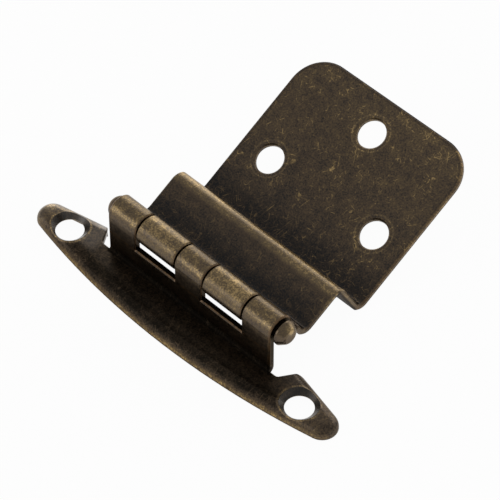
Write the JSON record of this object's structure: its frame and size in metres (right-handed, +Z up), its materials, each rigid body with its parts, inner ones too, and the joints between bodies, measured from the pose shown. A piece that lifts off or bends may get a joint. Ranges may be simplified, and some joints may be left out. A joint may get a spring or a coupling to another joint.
{
  "type": "surface mount hinge",
  "caption": "Inset cabinet hinge: a boat-shaped frame leaf with an upright barrel, and a stepped door leaf that swings on a headed pin.",
  "frame": {"origin": "midway between the frame leaf's two screw holes, on the plane of its turned-down rim, which lies on the cabinet's face", "axes": "+X along the pin towards its blunt head, +Y across the hinge from the frame leaf to the door leaf, +Z up, out of the cabinet's face"},
  "size_m": [0.0698, 0.0567, 0.0155],
  "materials": {
    "leaf_finish": "dark antique brass plate, burnished at the edges and knuckles",
    "pin_finish": "antique brass plate, rubbed lighter on the heads"
  },
  "bodies": {
    "frame": {"frame_leaf": "leaf_finish", "hinge_pin": "pin_finish"},
    "door": {"door_leaf": "leaf_finish"}
  },
  "joints": [
    {"name": "door_swing", "type": "hinge", "parent": "frame", "child": "door", "pos_m": [0, 0.004, 0.0102], "axis": [1, 0, 0], "range_deg": [-28.34, 151.66]}
  ]
}
